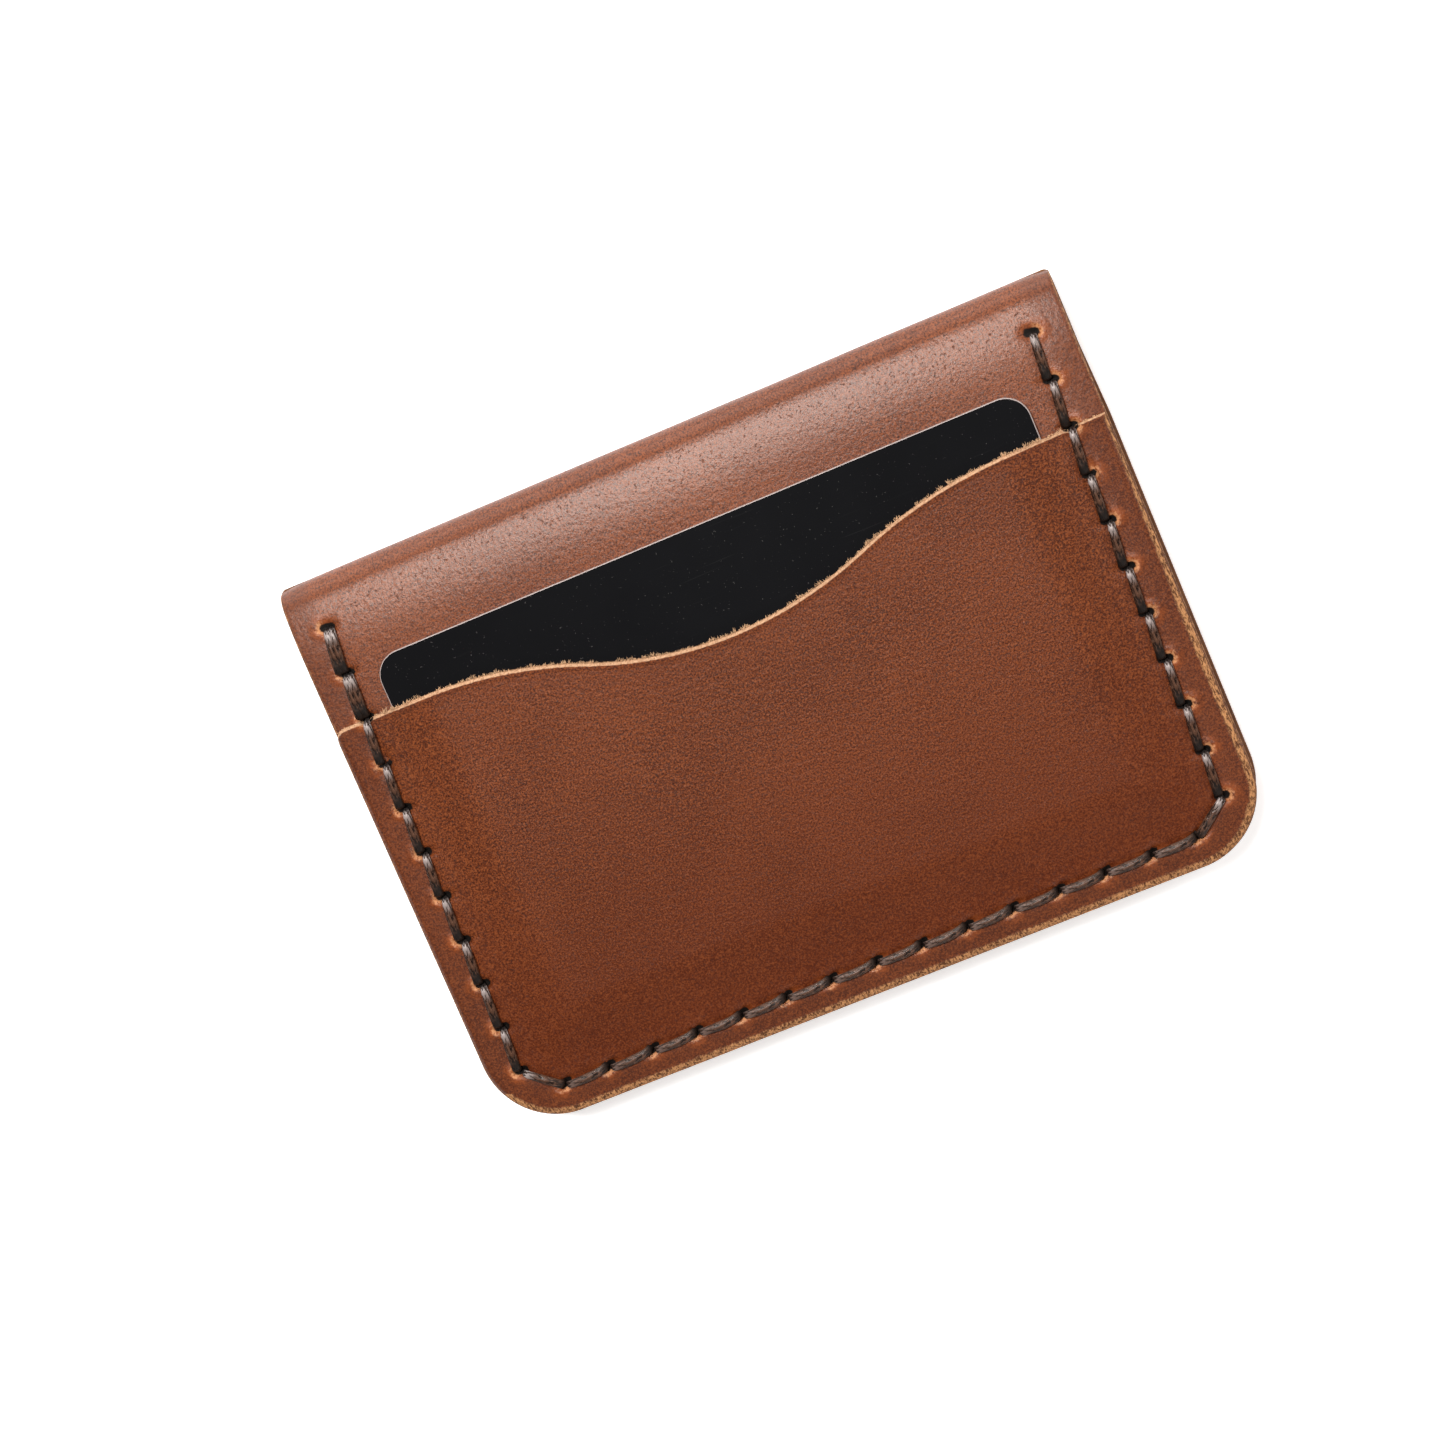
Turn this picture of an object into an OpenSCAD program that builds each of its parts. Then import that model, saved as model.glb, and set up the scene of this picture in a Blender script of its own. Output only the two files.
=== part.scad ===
// Folding leather card holder: one leather shell folded along its top edge, an outer pocket with a
// dipped mouth and a card in it, an inner pocket on each cover, and one hand-sewn seam per cover.
// It lies closed on its back cover: +X runs along the fold, +Y points to the fold, +Z is the thickness.

/* [Wallet] */
// Width along the fold
width = 102; // [90:0.5:125]
// Depth from the open edge to the fold
depth = 73.8; // [68:0.2:95]
// Radius of the two rounded corners at the open edge
corner_r = 9.5; // [6:0.5:14]
// Thickness of the shell leather
shell_t = 1.5; // [1.2:0.05:2]
// Gap left between the two inner pockets when the wallet is closed
middle_gap = 0.6; // [0.4:0.1:1.2]

/* [Fold] */
// Mid-leather radius of the gentle bend that leads into the fold
bend_r = 34; // [28:0.5:42]
// Angle that the gentle bend turns through on each cover, in degrees
bend_turn = 12.5; // [8:0.5:14]

/* [Pockets] */
// Thickness of the pocket leather
pocket_t = 1.2; // [1:0.05:1.5]
// Height of the space inside a pocket
pocket_gap = 0.9; // [0.85:0.05:1.1]
// Step in from the shell's edge to a pocket's edge
pocket_inset = 0.3; // [0.1:0.05:0.6]
// Distance from the fold to the shoulders of the outer pocket's mouth
mouth_from_fold = 18.3; // [15:0.1:24]
// Depth of the dip in the outer pocket's mouth
mouth_dip = 7.3; // [4:0.1:10]
// Distance from the middle of the dip to where its shoulder is level
mouth_reach = 38.8; // [30:0.2:42]
// Share of the dip's width that belongs to its lower, hollow arc
mouth_low_share = 0.475; // [0.35:0.005:0.6]
// Distance from the fold to the shoulders of an inner pocket's mouth
inner_mouth_from_fold = 4.6; // [4.2:0.1:5.5]
// Depth of the thumb dip in an inner pocket's mouth
inner_dip = 12; // [6:0.5:16]

/* [Card] */
// Width of the card
card_w = 85.6; // [80:0.1:90]
// Height of the card
card_h = 53.98; // [50:0.02:56]
// Thickness of the card
card_t = 0.76; // [0.6:0.02:0.8]
// Corner radius of the card
card_r = 3.18; // [2:0.02:4]
// Distance from the fold to the card's top edge
card_from_fold = 11.9; // [10:0.1:16]
// Room beside the card, at each side of the pocket's hollow
card_side_room = 1.4; // [1:0.1:1.5]
// Room under the card, down to the bottom of the pocket's hollow
card_under_room = 1.7; // [1.2:0.1:1.8]
// Gap between the card and the shell that it slides on
card_slide_gap = 0.07; // [0.05:0.01:0.12]

/* [Seams] */
// Distance between neighbouring stitch holes, before it is fitted to a whole number of stitches
stitch_pitch = 6; // [4:0.1:8]
// Distance from the fold to the first stitch hole
first_hole_from_fold = 6.2; // [5.6:0.1:8]
// Distance from the side edges to the stitch line
seam_side_inset = 4.5; // [4:0.1:6]
// Distance from the open edge to the stitch line
seam_bottom_inset = 4.1; // [3.5:0.1:6]
// How far the seam cuts across each corner, along the width
seam_corner_x = 4.5; // [3.5:0.1:6]
// How far the seam cuts across each corner, along the depth
seam_corner_y = 3.5; // [3:0.1:6]
// Width of the flattened thread
thread_w = 1.1; // [0.7:0.05:1.2]
// Thickness of the flattened thread
thread_t = 0.7; // [0.5:0.05:0.8]
// How deep the thread is pressed into the front of the wallet
front_sink = 0.2; // [0.1:0.05:0.4]
// Sideways step of a stitch between its two holes, each way
stitch_jog = 0.25; // [0:0.05:0.35]
// Length of a stitch hole's slit
slit_l = 1.5; // [1.2:0.05:1.8]
// Width of a stitch hole's slit
slit_w = 0.75; // [0.6:0.05:0.9]
// Slant of the slits to the stitch line, in degrees
slit_slant = 35; // [0:1:60]
// Gap between the thread and the leather around it
thread_gap = 0.05; // [0.03:0.01:0.1]

/* [Hidden] */
$fn = 96;
// Longer than any piece, for cuts that run right out
far = 200;
shell_leather = [0.46, 0.26, 0.17];
pocket_leather = [0.5, 0.28, 0.18];
thread_brown = [0.2, 0.13, 0.1];
card_black = [0.08, 0.08, 0.09];

// Half the closed height, outer face to outer face of the shell
half_h = shell_t + pocket_t + pocket_gap + middle_gap / 2;
fold_y = depth / 2;
open_y = -depth / 2;
// Half the height between the two covers' mid-leather planes
mid_h = half_h - shell_t / 2;
// Mid-leather radius of the fold's tip, tangent to both gentle bends
tip_r = (mid_h - bend_r * (1 - cos(bend_turn))) / cos(bend_turn);
tip_y = fold_y - tip_r - shell_t / 2;
// Where the flat cover ends and the gentle bend starts
bend_y = tip_y - (bend_r - tip_r) * sin(bend_turn);

// Heights over the closed wallet's middle plane
shell_in_z = half_h - shell_t;
inner_rim_z = shell_in_z - pocket_t;
outer_rim_z = half_h + pocket_t;

mouth_y = fold_y - mouth_from_fold;
inner_mouth_y = fold_y - inner_mouth_from_fold;
card_top_y = fold_y - card_from_fold;
card_bottom_y = card_top_y - card_h;

// The hollow inside every pocket
hollow_half_w = card_w / 2 + card_side_room;
hollow_bottom_y = card_bottom_y - card_under_room;
hollow_r = card_r + 1.8;

// The stitch line: down the left side, along the open edge, up the right side
first_hole_y = fold_y - first_hole_from_fold;
last_hole_y = open_y + seam_bottom_inset + seam_corner_y;
side_x = width / 2 - seam_side_inset;
row_half = side_x - seam_corner_x;
row_y = open_y + seam_bottom_inset;
side_stitches = round((first_hole_y - last_hole_y) / stitch_pitch);
row_stitches = round(2 * row_half / stitch_pitch);
side_pitch = (first_hole_y - last_hole_y) / side_stitches;
row_pitch = 2 * row_half / row_stitches;
holes = concat(
    [for (i = [0:side_stitches]) [-side_x, first_hole_y - i * side_pitch]],
    [for (i = [0:row_stitches]) [-row_half + i * row_pitch, row_y]],
    [for (i = [0:side_stitches]) [side_x, last_hole_y + i * side_pitch]]);

// How far the gentle bend has dropped a face of radius r at depth y
function bend_drop(y, r) = y <= bend_y ? 0 : r - sqrt(r * r - (y - bend_y) * (y - bend_y));

// Direction of the stitch line at hole i, taken across its neighbours
function seam_turn(i) =
    let (a = holes[max(i - 1, 0)], b = holes[min(i + 1, len(holes) - 1)])
    atan2(b[1] - a[1], b[0] - a[0]);

// Mouth line of a pocket: a hollow arc in the middle meets a round shoulder on each side
function mouth_line(x, top, dip) =
    let (turn = 2 * atan(dip / mouth_reach),
         r_sum = mouth_reach / sin(turn),
         low_r = mouth_low_share * r_sum,
         high_r = r_sum - low_r,
         d = min(abs(x), mouth_reach))
    d < low_r * sin(turn)
        ? top - dip + low_r - sqrt(low_r * low_r - d * d)
        : top - high_r + sqrt(high_r * high_r - (mouth_reach - d) * (mouth_reach - d));

// Flat outline of a layer: rounded corners at the open edge, square towards the fold
module outline(inset, top) {
    half_w = width / 2 - inset;
    bottom = open_y + inset;
    r = corner_r - inset;
    difference() {
        translate([-half_w, bottom]) square([2 * half_w, top - bottom]);
        for (s = [-1, 1])
            difference() {
                translate([s * half_w - r, bottom - r]) square([2 * r, 2 * r]);
                translate([s * (half_w - r), bottom + r]) circle(r);
            }
    }
}

// Outline of a pocket: a layer's outline under its mouth line
module pocket_outline(top, dip) {
    steps = 48;
    difference() {
        outline(pocket_inset, top);
        polygon(concat(
            [for (i = [0:steps])
                let (x = mouth_reach * (2 * i / steps - 1))
                [x, mouth_line(x, top, dip)]],
            [[mouth_reach, top + 1], [-mouth_reach, top + 1]]));
    }
}

// Outline of a pocket's hollow, or of the raised field round it, running out through the mouth
module hollow_outline(grow) {
    half_w = hollow_half_w + grow;
    bottom = hollow_bottom_y - grow;
    r = hollow_r + grow;
    difference() {
        translate([-half_w, bottom]) square([2 * half_w, far]);
        for (s = [-1, 1])
            difference() {
                translate([s * half_w - r, bottom - r]) square([2 * r, 2 * r]);
                translate([s * (half_w - r), bottom + r]) circle(r);
            }
    }
}

// Side view of a layer between two heights, flat and then bent down towards the fold
module layer_side(low, high) {
    centre_z = mid_h - bend_r;
    translate([bend_y, centre_z]) {
        translate([-far / 2, low - centre_z]) square([far / 2, high - low]);
        intersection() {
            difference() {
                circle(high - centre_z, $fn = 360);
                circle(low - centre_z, $fn = 360);
            }
            polygon([[0, 0], [0, far], [far * tan(bend_turn), far]]);
        }
    }
}

// A layer of leather between two heights, cut to the outline given as its child
module layer(low, high) {
    intersection() {
        translate([0, 0, -far / 2]) linear_extrude(far) children();
        translate([-far / 2, 0, 0]) rotate([90, 0, 90]) linear_extrude(far) layer_side(low, high);
    }
}

// Places a cover's pieces, made over the middle plane, on the front or on the back
module front_cover() { translate([0, 0, half_h]) children(); }
module back_cover() { translate([0, 0, half_h]) mirror([0, 0, 1]) children(); }

// The slits of the whole stitch line, or the threads that pass through them
module slits(length, wide, low, high) {
    for (i = [0:len(holes) - 1])
        translate([holes[i][0], holes[i][1], (low + high) / 2])
            rotate(seam_turn(i) + slit_slant)
                cube([length, wide, high - low], center = true);
}

// One stitch from hole i to the next, lying between two heights
module stitch(i, low, high, wide) {
    a = holes[i];
    b = holes[i + 1];
    run = sqrt(pow(b[0] - a[0], 2) + pow(b[1] - a[1], 2));
    translate([(a[0] + b[0]) / 2, (a[1] + b[1]) / 2, (low + high) / 2])
        rotate(atan2(b[1] - a[1], b[0] - a[0]) - atan(2 * stitch_jog / run))
            cube([run, wide, high - low], center = true);
}

// Stitches along one face. top is the face's height, and sink how deep they are pressed into it
module outside_stitches(shell_top, pocket_top, sink, gap) {
    for (i = [0:len(holes) - 2]) {
        top = min(holes[i][1], holes[i + 1][1]) < mouth_y ? pocket_top : shell_top;
        stitch(i, top - sink - gap, top - sink + thread_t, thread_w + 2 * gap);
    }
}

// Stitches along the inside of a cover, on the inner pocket's rim
module inside_stitches() {
    for (i = [0:len(holes) - 2]) {
        y = max(holes[i][1], holes[i + 1][1]);
        top = inner_rim_z - bend_drop(y, bend_r - shell_t / 2 - pocket_t);
        stitch(i, top - thread_t, top, thread_w);
    }
}

module cover_shell(pocket_top, sink) {
    difference() {
        layer(shell_in_z, half_h) outline(0, fold_y);
        slits(slit_l, slit_w, 0, outer_rim_z + 1);
        outside_stitches(half_h, pocket_top, sink, thread_gap);
    }
}

module inner_pocket() {
    difference() {
        union() {
            layer(inner_rim_z, shell_in_z) pocket_outline(inner_mouth_y, inner_dip);
            layer(inner_rim_z - pocket_gap, shell_in_z)
                intersection() {
                    pocket_outline(inner_mouth_y, inner_dip);
                    hollow_outline(pocket_t);
                }
        }
        layer(shell_in_z - pocket_gap, shell_in_z + 0.01) hollow_outline(0);
        slits(slit_l, slit_w, -1, half_h);
        // Where the cover bends, the mouth's edge is thinned so that it stays on its own half
        translate([-far / 2, -far / 2, middle_gap / 2 - far]) cube(far);
    }
}

module seam_thread(pocket_top, sink) {
    outside_stitches(half_h, pocket_top, sink, 0);
    inside_stitches();
    intersection() {
        slits(slit_l - 2 * thread_gap, slit_w - 2 * thread_gap, inner_rim_z - thread_t / 2,
              pocket_top - sink + thread_t / 2);
        // The two holes nearest the fold on each side pass through fewer layers
        union() {
            translate([-far / 2, -far / 2, -far / 2]) cube([far, far / 2 + mouth_y + slit_l / 2, far]);
            translate([-far / 2, 0, -far / 2])
                cube([far, far, far / 2 + half_h - sink + thread_t / 2]);
        }
    }
}

module shell_back() {
    color(shell_leather) back_cover() cover_shell(half_h, thread_t);
}

module shell_front() {
    color(shell_leather) front_cover() cover_shell(outer_rim_z, front_sink);
}

// The part of the shell that flexes when the wallet opens
module shell_fold() {
    color(shell_leather)
        translate([-width / 2, tip_y, half_h])
            rotate([90, 0, 90])
                linear_extrude(width)
                    difference() {
                        circle(tip_r + shell_t / 2);
                        circle(tip_r - shell_t / 2);
                        polygon([[0, 0], [far * sin(bend_turn), far * cos(bend_turn)], [-far, far],
                                 [-far, -far], [far * sin(bend_turn), -far * cos(bend_turn)]]);
                    }
}

module outer_pocket() {
    color(pocket_leather)
        front_cover()
            difference() {
                union() {
                    translate([0, 0, half_h]) linear_extrude(pocket_t) pocket_outline(mouth_y, mouth_dip);
                    translate([0, 0, half_h])
                        linear_extrude(pocket_t + pocket_gap)
                            intersection() {
                                pocket_outline(mouth_y, mouth_dip);
                                hollow_outline(pocket_t);
                            }
                }
                translate([0, 0, half_h - 0.01]) linear_extrude(pocket_gap + 0.01) hollow_outline(0);
                slits(slit_l, slit_w, half_h - 1, outer_rim_z + 1);
                outside_stitches(half_h, outer_rim_z, front_sink, thread_gap);
            }
}

module front_inner_pocket() {
    color(pocket_leather) front_cover() inner_pocket();
}

module back_inner_pocket() {
    color(pocket_leather) back_cover() inner_pocket();
}

module front_seam_thread() {
    color(thread_brown) front_cover() seam_thread(outer_rim_z, front_sink);
}

module back_seam_thread() {
    color(thread_brown) back_cover() seam_thread(half_h, thread_t);
}

module card() {
    color(card_black)
        translate([0, card_bottom_y, 2 * half_h + card_slide_gap])
            linear_extrude(card_t)
                difference() {
                    translate([-card_w / 2, 0]) square([card_w, card_h]);
                    for (s = [-1, 1])
                        for (t = [0, 1])
                            translate([s * (card_w / 2 - card_r), t ? card_h - card_r : card_r])
                                difference() {
                                    translate([s > 0 ? 0 : -2 * card_r, t ? 0 : -2 * card_r])
                                        square(2 * card_r);
                                    circle(card_r);
                                }
                }
}

shell_back();
shell_fold();
shell_front();
outer_pocket();
front_inner_pocket();
back_inner_pocket();
front_seam_thread();
back_seam_thread();
card();
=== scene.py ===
"""Folding leather card holder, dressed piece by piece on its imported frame. Lengths are in metres."""
import math

import bpy
import numpy as np
from mathutils import Matrix, Vector


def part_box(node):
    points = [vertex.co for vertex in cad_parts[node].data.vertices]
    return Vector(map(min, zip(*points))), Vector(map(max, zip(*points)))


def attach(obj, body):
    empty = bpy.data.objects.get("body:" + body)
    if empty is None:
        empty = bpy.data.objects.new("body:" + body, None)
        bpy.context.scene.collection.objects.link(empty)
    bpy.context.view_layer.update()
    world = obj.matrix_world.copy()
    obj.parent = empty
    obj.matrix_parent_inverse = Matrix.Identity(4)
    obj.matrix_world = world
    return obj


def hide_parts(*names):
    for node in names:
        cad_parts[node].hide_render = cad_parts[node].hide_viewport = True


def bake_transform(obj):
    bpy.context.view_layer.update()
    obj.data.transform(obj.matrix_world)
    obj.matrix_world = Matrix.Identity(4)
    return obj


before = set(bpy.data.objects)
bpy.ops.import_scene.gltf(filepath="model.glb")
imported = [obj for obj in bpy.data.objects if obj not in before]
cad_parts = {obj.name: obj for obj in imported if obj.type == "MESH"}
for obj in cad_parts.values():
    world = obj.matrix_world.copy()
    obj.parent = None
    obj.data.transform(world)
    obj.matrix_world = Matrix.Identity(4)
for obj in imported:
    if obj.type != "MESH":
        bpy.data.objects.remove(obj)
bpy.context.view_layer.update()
mm = 0.001
scene = bpy.context.scene


# ---------------------------------------------------------------- Camera
# It looks down on the closed wallet from a little past the fold and to the right, turned so that
# the fold climbs to the upper right of the picture.
camera_data = bpy.data.cameras.new("camera")
camera_data.lens = 86
camera_data.sensor_width = 36
camera_data.clip_start = 0.01
camera = bpy.data.objects.new("camera", camera_data)
scene.collection.objects.link(camera)
scene.camera = camera
camera_place = Vector((62.5, 54.0, 419.0)) * mm
camera_aim = Vector((-5.76, 1.67, 9.0)) * mm
camera_roll = math.radians(-23.31)
back = (camera_place - camera_aim).normalized()
level_up = (Vector((0, 1, 0)) - back * back.y).normalized()
level_right = level_up.cross(back)
right = level_right * math.cos(camera_roll) + level_up * math.sin(camera_roll)
camera.matrix_world = Matrix((right, back.cross(right), back)).transposed().to_4x4()
camera.location = camera_place


# ---------------------------------------------------------------- Light and floor
# A large soft box beyond the fold rakes the gentle bend, and weaker ones fill in from the open edge
# and the right. The floor is a plain white sweep.
scene.view_settings.view_transform = "Standard"
scene.view_settings.look = "None"


def soft_box(name, place, aim, width, height, power, turn=0.0):
    """A rectangular lamp. turn is the heading of its long side, seen from above, in degrees."""
    data = bpy.data.lights.new(name, "AREA")
    data.shape = "RECTANGLE"
    data.size = width
    data.size_y = height
    data.energy = power
    lamp = bpy.data.objects.new(name, data)
    scene.collection.objects.link(lamp)
    away = (Vector(place) - Vector(aim)).normalized()
    side = Vector((math.cos(math.radians(turn)), math.sin(math.radians(turn)), 0))
    side = (side - away * side.dot(away)).normalized()
    lamp.matrix_world = Matrix((side, away.cross(side), away)).transposed().to_4x4()
    lamp.location = place


soft_box("key_light", (-0.080, 0.250, 0.68), (0, 0.02, 0), width=0.25, height=0.125, power=4.7, turn=-31)
soft_box("low_fold_side_light", (-0.1, 1.25, 0.42), (0, 0, 0), width=1.4, height=0.55, power=9.0)
soft_box("open_side_light", (0.15, -0.95, 0.70), (0, 0, 0), width=0.9, height=0.5, power=3.2)
soft_box("right_side_light", (0.95, 0.30, 0.55), (0, 0, 0), width=0.6, height=0.5, power=4.0, turn=90)

world = bpy.data.worlds.new("studio")
scene.world = world
world.use_nodes = True
world_inputs = world.node_tree.nodes["Background"].inputs
world_inputs["Color"].default_value = (1.0, 0.985, 0.97, 1)
world_inputs["Strength"].default_value = 0.16

floor_half = 3.0
floor_drop = 0.2 * mm
floor_corners = [(-floor_half, -floor_half, 0), (floor_half, -floor_half, 0),
                 (floor_half, floor_half, 0), (-floor_half, floor_half, 0)]
floor_mesh = bpy.data.meshes.new("floor")
floor_mesh.from_pydata(floor_corners, [], [(0, 1, 2, 3)])
floor = bpy.data.objects.new("floor", floor_mesh)
scene.collection.objects.link(floor)
floor.location.z = -floor_drop
floor_paint = bpy.data.materials.new("white_floor")
floor_paint.use_nodes = True
floor_inputs = floor_paint.node_tree.nodes["Principled BSDF"].inputs
floor_inputs["Base Color"].default_value = (0.93, 0.925, 0.92, 1)
floor_inputs["Roughness"].default_value = 0.9
floor_inputs["Emission Color"].default_value = (1, 0.99, 0.98, 1)
floor_inputs["Emission Strength"].default_value = 0.52
floor_mesh.materials.append(floor_paint)


# ---------------------------------------------------------------- Leather, shared by shell and pockets
# Vegetable-tanned cowhide with a waxed brown grain side, a raw fibrous tan core that shows wherever it
# is cut, and a rough flesh side. Each hide piece is a closed sheet over a cut outline.
def paint(red, green, blue):
    """A colour as mixed on a screen, as the linear colour that a shader takes."""
    linear = [((c / 255 + 0.055) / 1.055) ** 2.4 if c > 10 else c / 3294.6 for c in (red, green, blue)]
    return (*linear, 1)


class Recipe:
    """A material's nodes, laid one after another. Its patterns are laid out in millimetres."""

    def __init__(self, name):
        self.material = bpy.data.materials.new(name)
        self.material.use_nodes = True
        self.nodes = self.material.node_tree.nodes
        self.links = self.material.node_tree.links
        self.shader = self.nodes["Principled BSDF"]

    def feed(self, socket, value):
        if isinstance(value, bpy.types.NodeSocket):
            self.links.new(value, socket)
        elif value is not None:
            socket.default_value = value

    def stored(self, name):
        node = self.nodes.new("ShaderNodeAttribute")
        node.attribute_name = name
        return node

    def stored_mm(self, name):
        return self.math("MULTIPLY", self.stored(name).outputs["Fac"], 1000)

    def flat_mm(self):
        """Where a point lies on the leather laid flat."""
        return self.scaled(self.stored("flat_place").outputs["Vector"], (1000, 1000, 1000))

    def split(self, vector):
        node = self.nodes.new("ShaderNodeSeparateXYZ")
        self.feed(node.inputs[0], vector)
        return node.outputs

    def scaled(self, vector, by):
        node = self.nodes.new("ShaderNodeVectorMath")
        node.operation = "MULTIPLY"
        self.feed(node.inputs[0], vector)
        self.feed(node.inputs[1], by)
        return node.outputs[0]

    def math(self, operation, a, b=None, c=None, clamp=False):
        node = self.nodes.new("ShaderNodeMath")
        node.operation = operation
        node.use_clamp = clamp
        for socket, value in zip(node.inputs, (a, b, c)):
            self.feed(socket, value)
        return node.outputs[0]

    def times(self, a, b):
        return self.math("MULTIPLY", a, b)

    def noise(self, vector, scale, detail=2.0, roughness=0.5, distortion=0.0):
        node = self.nodes.new("ShaderNodeTexNoise")
        self.feed(node.inputs["Vector"], vector)
        node.inputs["Scale"].default_value = scale
        node.inputs["Detail"].default_value = detail
        node.inputs["Roughness"].default_value = roughness
        node.inputs["Distortion"].default_value = distortion
        return node.outputs["Fac"]

    def ramp(self, value, low, high):
        """0 at low, 1 at high and beyond, easing between them."""
        node = self.nodes.new("ShaderNodeMapRange")
        node.interpolation_type = "SMOOTHSTEP"
        self.feed(node.inputs["Value"], value)
        node.inputs["From Min"].default_value = low
        node.inputs["From Max"].default_value = high
        return node.outputs["Result"]

    def mix(self, share, first, second):
        node = self.nodes.new("ShaderNodeMix")
        node.data_type = "RGBA"
        self.feed(node.inputs[0], share)
        self.feed(node.inputs[6], first)
        self.feed(node.inputs[7], second)
        return node.outputs[2]

    def stained(self, colour, where, share, stain):
        """The colour, with up to a share of the stain."""
        return self.mix(self.times(where, share), colour, stain)

    def bump(self, height, distance, normal=None):
        node = self.nodes.new("ShaderNodeBump")
        node.inputs["Distance"].default_value = distance
        self.feed(node.inputs["Height"], height)
        self.feed(node.inputs["Normal"], normal)
        return node.outputs["Normal"]


# The sewing line, which every layer shares: side columns, a row along the open edge, cut corners
shell_low, shell_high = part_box("shell_front")
half_w = shell_high.x
open_y = shell_low.y
fold_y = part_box("shell_fold")[1].y
mid_z = (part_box("shell_back")[0].z + shell_high.z) / 2
first_hole_from_fold = 6.2 * mm
seam_side_inset = 4.5 * mm
seam_bottom_inset = 4.1 * mm
seam_corner_x = 4.5 * mm
seam_corner_y = 3.5 * mm
stitch_pitch = 6.0 * mm
slit_half = 0.5 * mm
row_slant = math.radians(20)
side_slant = math.radians(-12)
seam_x = half_w - seam_side_inset
seam_row_y = open_y + seam_bottom_inset
seam_row_half = seam_x - seam_corner_x
seam_last_y = seam_row_y + seam_corner_y
seam_first_y = fold_y - first_hole_from_fold
side_stitches = round((seam_first_y - seam_last_y) / stitch_pitch)
row_stitches = round(2 * seam_row_half / stitch_pitch)
side_pitch = (seam_first_y - seam_last_y) / side_stitches
row_pitch = 2 * seam_row_half / row_stitches
stitch_holes = np.array(
    [(-seam_x, seam_first_y - i * side_pitch) for i in range(side_stitches + 1)]
    + [(-seam_row_half + i * row_pitch, seam_row_y) for i in range(row_stitches + 1)]
    + [(seam_x, seam_last_y + i * side_pitch) for i in range(side_stitches + 1)])


def to_seam(x, y):
    """Distance to the sewing line and to the nearest slit, and how far outward of that slit a point lies."""
    far = 1.0
    line = np.full(x.shape, far)
    for a, b in zip(stitch_holes[:-1], stitch_holes[1:]):
        run = b - a
        t = np.clip(((x - a[0]) * run[0] + (y - a[1]) * run[1]) / (run @ run), 0, 1)
        line = np.minimum(line, np.hypot(x - a[0] - t * run[0], y - a[1] - t * run[1]))
    hole = np.full(x.shape, far)
    outward = np.zeros(x.shape)
    for hx, hy in stitch_holes:
        in_row = hy < seam_row_y + seam_corner_y / 2
        way = (0.0, -1.0) if in_row else (np.sign(hx), 0.0)
        slant = row_slant if in_row else side_slant
        along = (x - hx) * math.cos(slant) + (y - hy) * math.sin(slant)
        across = (y - hy) * math.cos(slant) - (x - hx) * math.sin(slant)
        d = np.hypot(np.maximum(np.abs(along) - slit_half, 0), across)
        near = d < hole
        hole = np.where(near, d, hole)
        reach = np.maximum(np.hypot(x - hx, y - hy), 1e-6)
        outward = np.where(near, ((x - hx) * way[0] + (y - hy) * way[1]) / reach, outward)
    return line, hole, outward


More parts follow.
